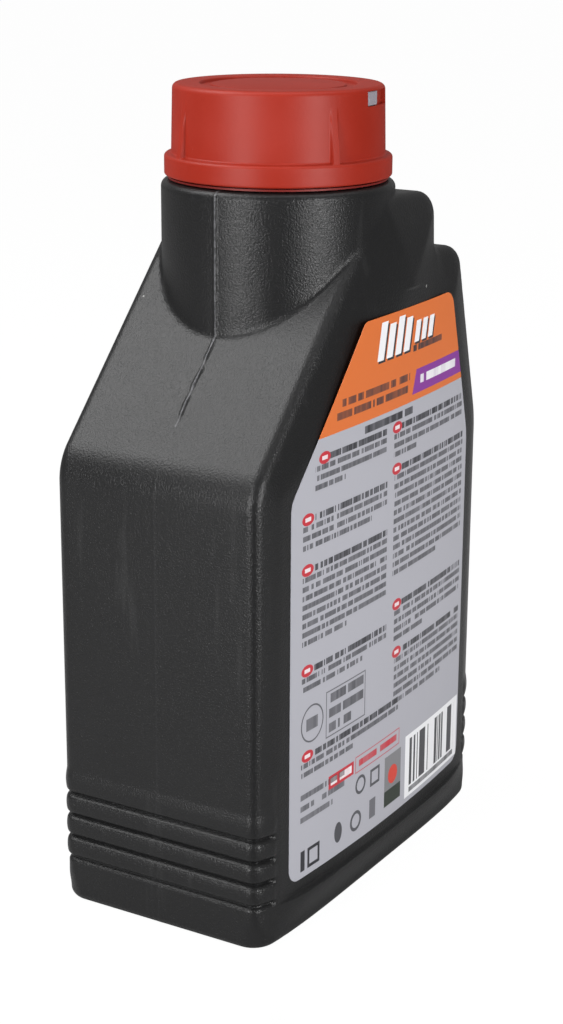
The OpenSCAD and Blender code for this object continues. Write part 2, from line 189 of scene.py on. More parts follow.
class Colours(bpy.types.PropertyGroup):
    """Colours of the bottle"""
    black: colour("Black plastic", (0.0078, 0.0078, 0.0081), "Colour of the blown shell")
    red: colour("Red plastic", (0.27, 0.012, 0.002), "Colour of the outer cap")
    # The tamper ring's red is a darker copy of the cap's red: painted shade under the cap's band
    shaded_ring_red: colour("Ring", (0.16, 0.009, 0.006), "Colour of the tamper ring")
    grey: colour("Grey plastic", (0.27, 0.25, 0.28), "Colour of the inner cap")
    foam: colour("Foam", (0.8, 0.8, 0.77), "Colour of the sealing wad")
    field: colour("Lower field", (0.39, 0.39, 0.43), "Colour of the label's lower field")
    orange: colour("Upper field", (0.645, 0.148, 0.026), "Colour of the label's upper field")
    purple: colour("Slanted band", (0.22, 0.03, 0.28), "Colour of the slanted band")
    ink: colour("Ink", (0.02, 0.02, 0.026), "Colour of the dark print")
    badge: colour("Badge", (0.5, 0.02, 0.035), "Colour of the small badges")
    paper: colour("Paper", (0.82, 0.82, 0.84), "Colour of the pale print")


# Mesh helpers


def round_and(a, b, r, between=math.pi / 2):
    """Field of what lies inside both fields, rounded to r, where between is the angle of their normals"""
    cosine, u, v = np.cos(between), a + r, b + r
    arc = np.sqrt(np.maximum(u * u + v * v - 2 * u * v * cosine, 0)) / np.sin(between) - r
    return np.where((u > v * cosine) & (v > u * cosine), arc, np.maximum(a, b))


def round_or(a, b, r, between=math.pi / 2):
    """Field of what lies inside either field, with the corner between them filled to r"""
    return -round_and(-a, -b, r, between)


def soft_min(a, b, reach):
    """The smaller of two fields, blended where they are within reach of each other"""
    share = np.clip(0.5 + 0.5 * (b - a) / reach, 0, 1)
    return b + (a - b) * share - reach * share * (1 - share)


def ramp(t):
    """Rises smoothly from 0 to 1 as t does"""
    t = np.clip(t, 0, 1)
    return t * t * (3 - 2 * t)


def beyond(x, z, point, direction):
    """Distance to the left of a line through point in the given direction"""
    return (z - point[1]) * math.cos(direction) - (x - point[0]) * math.sin(direction)


def levels(*stretches):
    """Grid levels from (start, step) pairs, the last start being the end"""
    found = []
    for (start, step), (end, _) in zip(stretches, stretches[1:]):
        count = max(1, round((end - start) / step))
        found += [start + (end - start) * k / count for k in range(count)]
    return np.array(found + [stretches[-1][0]]) * MM


def skin_mesh(field, xs, ys, zs):
    """Points and quads of the surface where field is zero, one point in each grid cell it crosses"""
    grid = np.stack(np.meshgrid(xs, ys, zs, indexing="ij"), -1)
    value = field(grid)
    inside = value < 0
    cells = tuple(n - 1 for n in value.shape)
    total, count, quads = np.zeros((*cells, 3)), np.zeros(cells), []
    for axis in range(3):
        low = tuple(slice(None, -1) if k == axis else slice(None) for k in range(3))
        high = tuple(slice(1, None) if k == axis else slice(None) for k in range(3))
        cut = inside[low] != inside[high]
        at = np.argwhere(cut)
        share = (value[low][cut] / (value[low][cut] - value[high][cut]))[:, None]
        point = grid[low][cut] * (1 - share) + grid[high][cut] * share
        u, v = [k for k in range(3) if k != axis]
        corners = []
        for du, dv in ((-1, -1), (0, -1), (0, 0), (-1, 0)):
            cell = at.copy()
            cell[:, u] += du
            cell[:, v] += dv
            np.add.at(total, tuple(cell.T), point)
            np.add.at(count, tuple(cell.T), 1)
            corners.append(np.ravel_multi_index(tuple(cell.T), cells))
        quad = np.stack(corners, -1)
        turned = inside[low][cut] == (axis == 1)
        quad[turned] = quad[turned][:, ::-1]
        quads.append(quad)
    used = count.ravel() > 0
    order = np.cumsum(used) - 1
    points = total.reshape(-1, 3)[used] / count.ravel()[used][:, None]
    return points, order[np.concatenate(quads)]


def settle(field, points, rounds=3):
    """Moves points onto the surface where field is zero"""
    step = 0.02 * MM
    for _ in range(rounds):
        rises = [field(points + e) - field(points - e) for e in np.eye(3) * step]
        slope = np.stack(rises, -1) / (2 * step)
        points = points - (field(points) / np.maximum((slope ** 2).sum(-1), 0.3))[:, None] * slope
    return points


def even(points, quads, share=0.5):
    """Moves each point part of the way to the middle of its neighbours"""
    total, count = np.zeros_like(points), np.zeros(len(points))
    for a, b in ((0, 1), (1, 2), (2, 3), (3, 0)):
        for p, q in ((a, b), (b, a)):
            np.add.at(total, quads[:, p], points[quads[:, q]])
            np.add.at(count, quads[:, p], 1)
    return points + share * (total / count[:, None] - points)


def new_object(name, points, faces, smooth=True, sharp=None):
    mesh = bpy.data.meshes.new(name)
    mesh.from_pydata([tuple(p) for p in points], [], [tuple(int(i) for i in f) for f in faces])
    mesh.validate()
    obj = bpy.data.objects.new(name, mesh)
    bpy.context.scene.collection.objects.link(obj)
    finish_mesh(obj, smooth, sharp)
    return obj


def finish_mesh(obj, smooth=True, sharp=None):
    obj.data.polygons.foreach_set("use_smooth", [smooth] * len(obj.data.polygons))
    if sharp is not None:
        obj.data.set_sharp_from_angle(angle=math.radians(sharp))
    obj.data.update()


def outward(obj, merge=0.0):
    """Points every face outwards, after doubles within the merge distance are joined"""
    edited = bmesh.new()
    edited.from_mesh(obj.data)
    if merge:
        bmesh.ops.remove_doubles(edited, verts=edited.verts, dist=merge)
        bmesh.ops.dissolve_degenerate(edited, edges=edited.edges, dist=merge)
    bmesh.ops.recalc_face_normals(edited, faces=edited.faces)
    edited.to_mesh(obj.data)
    edited.free()


def applied(obj):
    """Turns what the modifiers give into the object's plain mesh"""
    depsgraph = bpy.context.evaluated_depsgraph_get()
    depsgraph.update()
    mesh = bpy.data.meshes.new_from_object(obj.evaluated_get(depsgraph))
    old = obj.data
    obj.modifiers.clear()
    obj.data = mesh
    if old.users == 0 and isinstance(old, bpy.types.Mesh):
        bpy.data.meshes.remove(old)
    mesh.name = obj.name
    return obj


def combine(obj, other, operation):
    """Joins another closed mesh to this one or cuts it out, and removes it"""
    modifier = obj.modifiers.new("combine", "BOOLEAN")
    modifier.operation = operation
    modifier.solver = "MANIFOLD"
    modifier.object = other
    applied(obj)
    bpy.data.objects.remove(other)
    if not obj.data.polygons:
        raise RuntimeError(f"{obj.name} came out empty")
    return obj


def fillet(points, radii, step=9):
    """Closed outline with each corner rounded to its own radius"""
    found = []
    for i, (point, r) in enumerate(zip(points, radii)):
        p = Vector(point)
        a = (Vector(points[i - 1]) - p).normalized()
        b = (Vector(points[(i + 1) % len(points)]) - p).normalized()
        if r == 0:
            found.append(tuple(p))
            continue
        half = a.angle(b) / 2
        centre = p + (a + b).normalized() * (r / math.sin(half))
        first = p + a * (r / math.tan(half)) - centre
        start = math.atan2(first.y, first.x)
        sweep = (math.pi - 2 * half) * (-1 if a.x * b.y - a.y * b.x > 0 else 1)
        count = max(2, math.ceil(abs(math.degrees(sweep)) / step))
        for k in range(count + 1):
            t = start + sweep * k / count
            found.append((centre.x + r * math.cos(t), centre.y + r * math.sin(t)))
    return found


def lathe(name, outline, angles, radius=lambda turn, r, z: r, sharp=30):
    """Turns a closed (r, z) outline about the neck's axis, with radius free to change with direction"""
    r, z = np.array(outline).T
    turn = np.array(angles)[:, None]
    rr = radius(turn, r[None], z[None]) * np.ones_like(turn)
    points = np.stack([NECK_X + rr * np.cos(turn), rr * np.sin(turn), z[None] * np.ones_like(turn)], -1)
    rows, columns = points.shape[:2]
    i, j = np.meshgrid(np.arange(rows), np.arange(columns), indexing="ij")
    k, l = (i + 1) % rows, (j + 1) % columns
    quads = np.stack([i * columns + j, k * columns + j, k * columns + l, i * columns + l], -1)
    obj = new_object(name, points.reshape(-1, 3), quads.reshape(-1, 4))
    outward(obj, 1e-7)
    finish_mesh(obj, True, sharp)
    return obj


# The blown shell


class Form:
    """The shell as a field of distances, negative inside"""

    def __init__(self, shell, detail):
        self.shell, self.detail = shell, detail

    def outline(self, x, z):
        """Distance outside the front outline"""
        s = self.shell
        left, right = -BODY_HIGH.x - x, x - BODY_HIGH.x
        slope = beyond(x, z, (-BODY_HIGH.x, s.slope_z), s.slope_angle)
        lean = beyond(x, z, (BODY_HIGH.x, s.lean_z), s.lean_angle - math.pi / 2)
        side = beyond(x, z, (s.shoulder_x, s.step_z), s.shoulder_lean - math.pi / 2)
        top = beyond(x, z, (NECK_X, s.shoulder_z), -s.shoulder_lean)
        square = math.pi / 2
        shoulder = round_and(side, top, s.shoulder_r, square - 2 * s.shoulder_lean)
        upper = round_or(z - s.step_z, shoulder, s.inner_r, square - s.shoulder_lean)
        right = round_and(right, lean, s.lean_turn_r, s.lean_angle)
        right = round_and(right, upper, s.shoulder_r, square - s.lean_angle)
        left = round_and(left, slope, s.slope_turn_r, square - s.slope_angle)
        return np.maximum(left, right)

    def half_depth(self, x, z, inward, above):
        """Half depth of the wide sides, with their panels"""
        s, d = self.shell, self.detail
        blend = 0.3 * MM
        crown = np.clip(1 - inward / BODY_HIGH.x, 0, 1)
        bulge = s.foot_bulge + (s.bulge - s.foot_bulge) * above
        edge = (s.foot_depth + (s.edge_depth - s.foot_depth) * above) / 2
        side = edge + bulge * (1 - crown ** s.crown_power)
        shown = ramp((z - d.panel_z) / d.panel_edge + 0.5) * ramp((d.panel_top - z) / d.panel_edge + 0.5)
        panel = BODY_HIGH.y - d.panel_depth - d.panel_fall * (x / d.panel_half) ** 2
        tilt = bulge * s.crown_power / BODY_HIGH.x * crown ** (s.crown_power - 1)
        return soft_min(side, panel + (1 - shown) * 4 * d.panel_depth, blend), tilt

    def grooves(self, x, z):
        """How far the grooves press in and the lobes between them swell out"""
        d = self.detail
        fade, last = 1.6 * MM, 1.15
        reach = ramp((np.abs(x) - d.groove_end) / fade)
        notch = sum(np.exp(-((z - d.groove_z - k * d.groove_pitch) / d.groove_half) ** 2) for k in range(4))
        turn = np.clip((z - d.groove_z) / d.groove_pitch, 0, 3 + last)
        lobe = np.abs(np.sin(math.pi * np.where(turn > 3, 3 + (turn - 3) / last, turn)))
        return reach * (d.groove_depth * notch - d.lobe * lobe)

    def seam(self, x, y, z):
        """Bead along the parting plane, rough on the upper slope"""
        s, d = self.shell, self.detail
        wander = 0.16 * MM * np.sin(z / (1.9 * MM)) + 0.1 * MM * np.sin(z / (0.83 * MM) + 1)
        on_slope = ramp((ROUGH_SEAM_TO - z) / (3 * MM)) * ramp((z - s.slope_z) / (2 * MM)) * (x < NECK_X)
        rough = 1 + on_slope * (0.5 * np.sin(z / (0.9 * MM)) + 0.35 * np.sin(z / (0.47 * MM) + 2))
        full = ramp((z - SEAM_FROM) / (2 * MM))
        height = np.where(x < NECK_X, 0.12 + 0.88 * full, 0.35) * ramp((s.collar_z - z) / (1.5 * MM))
        bead = np.exp(-((y - wander * on_slope * full) / d.seam_half) ** 2)
        return d.seam * height * rough * bead

    def body(self, p, detailed=True):
        """The blown body with its foot, hollow base and collar"""
        s = self.shell
        x, y, z = p[..., 0], p[..., 1], p[..., 2]
        front = self.outline(x, z)
        above = ramp((z - s.base_r) / (s.foot_h - s.base_r))
        depth, tilt = self.half_depth(x, z, -front, above)
        wide = (np.abs(y) - depth) / np.sqrt(1 + tilt ** 2)
        edge_r = s.foot_corner_r + (s.edge_r - s.foot_corner_r) * above
        solid = round_and(front, wide, edge_r, math.pi / 2 - np.arctan(tilt))
        if detailed:
            solid = solid + self.grooves(x, z)
        foot_x, foot_y = BODY_HIGH.x - s.base_r - s.rim, (s.edge_depth - s.rim) / 2 - s.base_r
        corner, fade = 6 * MM, 2 * MM
        qx, qy = np.abs(x) - foot_x + corner, np.abs(y) - foot_y + corner
        rim = np.hypot(np.maximum(qx, 0), np.maximum(qy, 0)) + np.minimum(np.maximum(qx, qy), 0) - corner
        solid = round_and(solid, s.push_up * ramp(-rim / fade) - z, s.base_r)
        collar = round_and(np.hypot(x - NECK_X, y) - s.collar_r, z - s.collar_z, s.collar_rim_r)
        collar = np.maximum(collar, s.slope_z - z)
        return round_or(solid, collar, s.collar_fillet)

    def skin(self, p):
        """The outer skin, with its parting seam"""
        x, y, z = p[..., 0], p[..., 1], p[..., 2]
        return self.body(p) - self.seam(x, y, z)

    def cavity(self, p):
        """The hollow inside, drawn in behind the grooves"""
        s, d = self.shell, self.detail
        z, fade = p[..., 2], 4 * MM
        zone = ramp((z - GROOVES_FROM) / fade) * ramp((GROOVES_TO - z) / fade)
        return self.body(p, False) + s.wall + 1.1 * d.groove_depth * zone


def make_skin(form):
    """The outer skin, with fine cells where the form turns"""
    xs = levels((-60, 0.62), (-49, 1.8), (28, 0.9), (34, 1.8), (49, 0.62), (60, 0))
    ys = levels((-36, 0.52), (-22, 1.7), (-1.6, 0.25), (1.6, 1.7), (22, 0.52), (36, 0))
    zs = levels((-0.8, 0.5), (3.2, 0.9), (10, 0.33), (37, 2.8), (105, 1.3), (125, 1), (153.6, 0.35),
                (157, 0.9), (176, 0.45), (182.6, 0))
    points, quads = skin_mesh(form.skin, xs, ys, zs)
    for _ in range(2):
        points = settle(form.skin, even(points, quads), 2)
    points = settle(form.skin, points)
    points[:, 2] = np.maximum(points[:, 2], 0)
    return new_object("bottle_shell", points, quads)


def make_cavity(form):
    xs, ys = levels((-60, 2.8), (60, 0)), levels((-36, 2.6), (36, 0))
    points, quads = skin_mesh(form.cavity, xs, ys, levels((-1, 2.8), (185, 0)))
    return new_object("cavity", settle(form.cavity, points), quads)


def make_finish(shell, neck):
    """The plain neck above the collar, with its locking bead"""
    mouth, foot, r = BODY_HIGH.z, shell.collar_z - 2 * MM, neck.finish_r
    out = r + neck.bead_out
    outline = fillet([(0, foot), (r, foot), (r, neck.bead_z - 0.9 * MM), (out, neck.bead_z - 0.55 * MM),
                      (out, neck.bead_z + 0.3 * MM), (r, neck.bead_z + 1.1 * MM), (r, mouth), (0, mouth)],
                     [0, 0, 0, 0.25 * MM, 0.4 * MM, 0, 0.6 * MM, 0])
    return lathe("finish", outline, turns_of(180))


def make_bore(shell, neck):
    top, foot = BODY_HIGH.z + 5 * MM, shell.collar_z - 6 * MM
    return lathe("bore", [(0, foot), (neck.bore_r, foot), (neck.bore_r, top), (0, top)], turns_of(180))


def turns_of(count):
    return [2 * math.pi * k / count for k in range(count)]


# Geometry node trees and shader trees share one wrapper


class Value:
    """A socket on which Python's operators add Math nodes"""

    def __init__(self, tree, socket):
        self.tree, self.socket = tree, socket

    def math(self, operation, *others):
        return self.tree.node("ShaderNodeMath", {"operation": operation},
                              dict(enumerate((self, *others))))

    def __add__(self, other):
        return self.math("ADD", other)

    def __sub__(self, other):
        return self.math("SUBTRACT", other)

    def __rsub__(self, other):
        return self.tree.node("ShaderNodeMath", {"operation": "SUBTRACT"}, {0: other, 1: self})

    def __mul__(self, other):
        return self.math("MULTIPLY", other)

    def __truediv__(self, other):
        return self.math("DIVIDE", other)

    def __gt__(self, other):
        return self.math("GREATER_THAN", other)

    def __lt__(self, other):
        return self.math("LESS_THAN", other)

    def __abs__(self):
        return self.math("ABSOLUTE")

    def __pow__(self, other):
        return self.math("POWER", other)

    __radd__, __rmul__ = __add__, __mul__

    def floor(self):
        return self.math("FLOOR")

    def fraction(self):
        return self.math("FRACT")

    def most(self, other):
        return self.math("MAXIMUM", other)

    def clamped(self):
        return self.math("MINIMUM", 1).math("MAXIMUM", 0)


class Tree:
    """Adds nodes to a node tree and links them"""

    def __init__(self, tree):
        self.tree = tree

    def node(self, kind, settings=None, inputs=None, output=0):
        """Adds a node with these settings and these socket values or links, and gives one output"""
        made = self.tree.nodes.new(kind)
        for name, value in (settings or {}).items():
            if name == "stops":
                self.set_stops(made.color_ramp, value)
            else:
                setattr(made, name, value)
        for name, value in (inputs or {}).items():
            self.put(made, name, value)
        found = made.outputs.get(output) if isinstance(output, str) else None
        if found is None and len(made.outputs):
            found = made.outputs[output]
        return Value(self, found)

    def put(self, node, name, value):
        socket = node.inputs[name]
        if isinstance(value, Value):
            self.tree.links.new(value.socket, socket)
        elif hasattr(socket, "default_value") and value is not None:
            plain = tuple(value) if hasattr(value, "__len__") and not isinstance(value, str) else value
            if isinstance(plain, tuple) and socket.type == "RGBA" and len(plain) == 3:
                plain = (*plain, 1)
            socket.default_value = plain

    @staticmethod
    def set_stops(color_ramp, stops):
        while len(color_ramp.elements) < len(stops):
            color_ramp.elements.new(0.5)
        for element, (place, shade) in zip(color_ramp.elements, stops):
            element.position = place
            element.color = (shade, shade, shade, 1)


class Finish(Tree):
    """A material with a Principled shader, read in Object coordinates"""

    def __init__(self, name, **fixed):
        self.material = bpy.data.materials.new(name)
        self.material.use_nodes = True
        super().__init__(self.material.node_tree)
        self.shader = self.tree.nodes["Principled BSDF"]
        for socket, value in fixed.items():
            self.put(self.shader, socket.replace("_", " "), value)
        self.place = self.node("ShaderNodeTexCoord", output="Object")
        split = self.node("ShaderNodeSeparateXYZ", inputs={0: self.place}).socket.node
        self.x, self.y, self.z = (Value(self, split.outputs[k]) for k in range(3))

    def noise(self, scale, detail=2, roughness=0.5, stretch=None):
        vector = self.place
        if stretch is not None:
            vector = self.node("ShaderNodeMapping", inputs={"Vector": self.place, "Scale": stretch})
        return self.node("ShaderNodeTexNoise", inputs={"Vector": vector, "Scale": scale, "Detail": detail,
                                                       "Roughness": roughness})

    def graded(self, value, *stops):
        return self.node("ShaderNodeValToRGB", {"stops": stops}, {0: value})

    def mixed(self, share, first, second):
        return self.node("ShaderNodeMix", {"data_type": "RGBA"}, {0: share, 6: first, 7: second}, output=2)

    def bumped(self, height, distance, strength=1.0, under=None):
        return self.node("ShaderNodeBump", inputs={"Height": height, "Distance": distance,
                                                   "Strength": strength, "Normal": under})

    def wear(self, **links):
        for socket, value in links.items():
            self.put(self.shader, socket.replace("_", " "), value)
        return self.material


def put_material(obj, material):
    obj.data.materials.clear()
    obj.data.materials.append(material)


def specks(finish, scale, size):
    """Mask of small scattered grains"""
    cells = finish.node("ShaderNodeTexVoronoi", inputs={"Vector": finish.place, "Scale": scale}).socket.node
    near = Value(finish, cells.outputs["Distance"])
    chosen = finish.node("ShaderNodeSeparateColor", inputs={0: Value(finish, cells.outputs["Color"])})
    return (near < size) * (chosen > 0.55)


def black_plastic(colours):
    f = Finish("black_bottle_plastic", Specular_IOR_Level=0.3)
    grain = f.noise(2200, 2, 0.6)
    cloud = f.noise(28, 3)
    rub = f.graded(f.noise(160, 3, 0.6, (1, 1, 0.12)), (0.62, 0), (0.72, 1))
    dust = specks(f, 95, 0.035)
    # Mould flash along the parting seam, painted light grey: partly the flash's own tone, partly a painted
    # highlight of the seam's bead
    seam = (abs(f.y) < 0.22 * MM) * (f.x < NECK_X)
    flash_and_highlight = seam * ((f.z > SEAM_FROM) * 0.5 + 0.03) * f.graded(f.noise(900, 2), (0.35, 0.3), (0.6, 1))
    base = f.mixed(cloud * 0.5, tuple(colours.black), tuple(c * 1.5 for c in colours.black))
    base = f.mixed(rub * 0.12, base, (0.06, 0.06, 0.06))
    base = f.mixed(dust * 0.5, base, (0.5, 0.5, 0.48))
    base = f.mixed(flash_and_highlight, base, (0.16, 0.16, 0.17))
    rough = 0.24 + cloud * 0.08 + grain * 0.05 + rub * 0.05
    normal = f.bumped(grain, 0.00016, 0.8, f.bumped(cloud, 0.0004, 0.25))
    return f.wear(Base_Color=base, Roughness=rough, Normal=normal)


def moulded_plastic(name, tone, rough=0.4, depth=0.2):
    f = Finish(name, Specular_IOR_Level=0.28)
    grain = f.noise(1500, 2, 0.6)
    cloud = f.noise(60, 3)
    pale = tuple(min(1, c * 1.12 + 0.012) for c in tone)
    base = f.mixed(f.graded(cloud, (0.35, 0), (0.7, 1)) * 0.5, tuple(tone), pale)
    base = f.mixed(specks(f, 130, 0.04) * 0.5, base, tuple(min(1, c + 0.18) for c in tone))
    normal = f.bumped(grain, 0.00005, depth * 2.5, f.bumped(cloud, 0.0003, depth))
    return f.wear(Base_Color=base, Roughness=rough + cloud * 0.1 + grain * 0.05, Normal=normal)


# Print on the label film, in millimetres across and up


class Print(Finish):
    """Label film on which fields and simple shapes are laid one over another"""

    def __init__(self, name, ground, facing):
        super().__init__(name)
        self.across, self.up = self.x * (1000 * facing), self.z * 1000
        self.base = self.mixed(self.noise(9, 2) * 0.3, tuple(ground), tuple(c * 1.1 for c in ground))

    def lay(self, mask, tone, strength=1.0):
        self.base = self.mixed(mask * strength, self.base, tuple(tone))

    def box(self, left, right, low, high, slant=0):
        across = self.across - (self.up - low) * slant if slant else self.across
        return (across > left) * (across < right) * (self.up > low) * (self.up < high)

    def ellipse(self, x, z, rx, rz):
        return ((self.across - x) / rx) ** 2 + ((self.up - z) / rz) ** 2 < 1

    def ring(self, x, z, r, line):
        return self.ellipse(x, z, r, r) * (1 - self.ellipse(x, z, r - line, r - line))

    def frame(self, left, right, low, high, line):
        inner = self.box(left + line, right - line, low + line, high - line)
        return self.box(left, right, low, high) * (1 - inner)

    def rows(self, left, right, top, count, pitch, last=0.6, fill=0.5, cell=0.62, seed=0.0):
        """Rows of short dashes of uneven length"""
        down = (top - self.up) / pitch
        row = down.floor()
        place = ((self.across + row * 1.37) / cell).floor()
        cell_at = self.node("ShaderNodeCombineXYZ", inputs={0: place, 1: row, 2: seed})
        chance = self.node("ShaderNodeTexWhiteNoise", {"noise_dimensions": "3D"}, {"Vector": cell_at}, 0)
        end = right - (row > count - 1.5) * ((right - left) * (1 - last))
        inside = self.box(left, right, top - count * pitch, top) * (self.across < end)
        return inside * (down.fraction() < fill) * (chance > 0.16) * (0.7 + chance * 0.3)

    def bars(self, left, right, low, high, cell, seed=3.0):
        place = self.node("ShaderNodeCombineXYZ", inputs={0: (self.across / cell).floor(), 1: seed})
        chance = self.node("ShaderNodeTexWhiteNoise", {"noise_dimensions": "3D"}, {"Vector": place}, 0)
        return self.box(left, right, low, high) * (chance > 0.55)

    def done(self):
        ripple = self.noise(45, 2)
        rough = 0.3 + ripple * 0.12 + self.noise(900, 1) * 0.04
        return self.wear(Base_Color=self.base, Roughness=rough, Normal=self.bumped(ripple, 0.0002, 0.3))


# Columns of dashes on the back label as (left, right, top, rows, last row's share)
COLUMNS = [
    (-30.5, -3.4, 121.4, 1, 1.0), (-36.6, -3.4, 119.1, 3, 0.4),
    (-36.4, -2.6, 107.6, 1, 1.0), (-41.5, -2.6, 105.3, 3, 0.8),
    (-36.4, -2.2, 95.0, 1, 1.0), (-41.5, -2.2, 92.7, 8, 0.5),
    (-36.2, -1.6, 69.4, 1, 1.0), (-41.5, -1.6, 67.1, 2, 0.7),
    (-35.8, 6.0, 47.0, 1, 1.0), (-41.5, 6.0, 44.7, 2, 0.5),
    (4.6, 41.6, 121.2, 1, 1.0), (0.6, 42.2, 118.9, 3, 0.3),
    (5.0, 43.4, 110.4, 1, 1.0), (1.2, 43.6, 108.1, 12, 0.6),
    (6.6, 44.0, 73.8, 1, 1.0), (2.6, 44.2, 71.5, 4, 0.4),
    (7.2, 44.2, 60.6, 1, 1.0), (3.2, 44.2, 58.3, 6, 0.7),
]
BADGES = [(-32.6, 120.6), (-39.4, 106.9), (-39.4, 94.3), (-39.2, 68.7), (-38.8, 46.3),
          (2.2, 120.5), (2.4, 109.7), (4.0, 73.1), (4.4, 59.9)]
ROW_PITCH = 2.3


def back_print(sizes, c):
    p = Print("back_label_print", c.field, 1)
    seam = sizes.field_z / MM
    p.lay(p.up > seam, c.orange)
    for k in range(4):
        left = -9 + 4.5 * k
        p.lay(p.box(left + 0.5, left + 3.9, 138.6, 148.0 - (k % 2), 0.22), c.ink)
        p.lay(p.box(left, left + 3.2, 139.2, 148.6 - (k % 2), 0.22), c.paper)
    for k in range(3):
        left = 10.5 + 3.9 * k
        p.lay(p.box(left + 0.4, left + 3.2, 140.0, 145.4, 0.22), c.ink)
        p.lay(p.box(left, left + 2.6, 140.6, 146.0, 0.22), c.paper)
    p.lay(p.rows(10, 27, 139.9, 1, 2.6, 1.0, 0.62, 0.8, 5.0), c.ink)
    p.lay(p.box(10, 60, 127.2, 133.4, 0.35), c.purple)
    p.lay(p.rows(14.5, 36.5, 131.6, 1, 2.6, 1.0, 0.85, 1.5, 7.0), c.paper)
    p.lay(p.rows(-25.5, 8.5, 133.2, 1, 2.6, 1.0, 0.72, 0.9, 9.0), c.ink, 0.9)
    p.lay(p.rows(-27.5, 7.5, 130.2, 1, 2.6, 1.0, 0.72, 0.9, 11.0), c.ink, 0.9)
    p.lay(p.rows(-14.5, 10.5, 124.3, 1, 2.4, 1.0, 0.8, 1.2, 13.0), c.ink)
    for k, (left, right, top, count, last) in enumerate(COLUMNS):
        bold = count == 1
        p.lay(p.rows(left, right, top, count, ROW_PITCH, last, 0.7 if bold else 0.58, 0.5, k * 2.0),
              c.ink, 1.0 if bold else 0.85)
    for x, z in BADGES:
        p.lay(p.ellipse(x, z, 2.5, 1.5), c.badge)
        p.lay(p.box(x - 1.2, x + 1.2, z - 0.5, z + 0.5), c.paper, 0.8)
    p.lay(p.ring(-36.8, 54.4, 4.9, 0.45), c.ink, 0.8)
    p.lay(p.rows(-39.4, -34.4, 56.0, 1, 3.2, 1.0, 1.0, 1.3, 1.0), c.ink, 0.8)
    p.lay(p.frame(-30.8, -12.0, 48.0, 60.4, 0.35), c.ink, 0.7)
    p.lay(p.rows(-29.4, -13.0, 59.4, 3, 3.9, 0.8, 0.62, 0.9, 15.0), c.ink, 0.85)
    p.lay(p.box(-29.2, -17.2, 33.6, 37.2), c.badge)
    p.lay(p.rows(-28.2, -18.2, 36.4, 1, 2.0, 1.0, 1.0, 1.2, 17.0), c.paper)
    p.lay(p.frame(-16.4, 7.2, 33.2, 37.8, 0.3), c.badge, 0.8)
    p.lay(p.rows(-14.6, 5.6, 36.5, 1, 2.0, 1.0, 0.9, 0.9, 19.0), c.badge)
    p.lay(p.rows(-41.6, -21.0, 36.6, 3, 3.0, 0.7, 0.5, 0.7, 21.0), c.ink, 0.8)
    p.lay(p.box(-0.8, 8.4, 17.6, 31.8), (0.2, 0.2, 0.21))
    p.lay(p.box(-0.8, 8.4, 17.6, 22.0), (0.02, 0.03, 0.02))
    p.lay(p.ellipse(3.8, 25.8, 2.6, 2.6), (0.6, 0.05, 0.03))
    p.lay(p.ring(-13.6, 29.4, 2.6, 0.8), c.ink, 0.85)
    p.lay(p.frame(-8.6, -3.6, 26.6, 31.4, 0.8), c.ink, 0.85)
    p.lay(p.ellipse(-24.4, 20.2, 1.8, 2.8), c.ink, 0.9)
    p.lay(p.ring(-15.8, 20.0, 2.8, 0.9), c.ink, 0.85)
    p.lay(p.box(-8.8, -5.6, 17.6, 23.0), c.ink, 0.7)
    p.lay(p.box(11.0, 45.6, 15.6, 33.6), c.paper)
    p.lay(p.bars(13.6, 43.2, 18.6, 32.2, 0.52), c.ink, 0.95)
    p.lay(p.rows(13.6, 43.2, 18.0, 1, 1.6, 1.0, 0.9, 1.1, 23.0), c.ink, 0.9)
    p.lay(p.box(-41.4, -39.6, 15.9, 21.4), c.ink)
    p.lay(p.frame(-38.4, -33.0, 15.9, 21.4, 0.9), c.ink)
    return p.done()


def front_print(sizes, c):
    """The hidden side's label: the same colours as plain fields in a layout of its own"""
    p = Print("front_label_print", c.field, -1)
    p.lay(p.up > 88, c.orange)
    p.lay(p.box(-60, 60, 84, 88), c.paper)
    p.lay(p.box(-60, 60, 58, 70, 0.6), c.purple)
    for k in range(5):
        p.lay(p.box(-30 + 12 * k, -22 + 12 * k, 112, 132 - 3 * (k % 2), 0.22), c.ink)
        p.lay(p.box(-31 + 12 * k, -23 + 12 * k, 113, 133 - 3 * (k % 2), 0.22), c.paper)
    p.lay(p.rows(-32, 32, 104, 2, 6, 0.7, 0.6, 2.4, 31.0), c.ink, 0.9)
    p.lay(p.rows(-34, 34, 48, 4, 4.4, 0.5, 0.5, 1.6, 33.0), c.ink, 0.8)
    p.lay(p.ring(30, 22, 5, 1.0), c.ink, 0.8)
    return p.done()


# Operators, one for each piece


class OIL_OT_shell(bpy.types.Operator):
    """Makes the blown shell with its neck finish"""
    bl_idname = "oil_bottle.shell"
    bl_label = "Blown shell"

    def execute(self, context):
        scene = context.scene
        form = Form(scene.oil_shell, scene.oil_detail)
        shell = make_skin(form)
        combine(shell, make_finish(scene.oil_shell, scene.oil_neck), "UNION")
        hollow = combine(make_cavity(form), make_bore(scene.oil_shell, scene.oil_neck), "UNION")
        combine(shell, hollow, "DIFFERENCE")
        finish_mesh(shell, True, 48)
        put_material(shell, black_plastic(scene.oil_colours))
        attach(shell, "bottle")
        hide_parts("bottle_body")
        return {"FINISHED"}


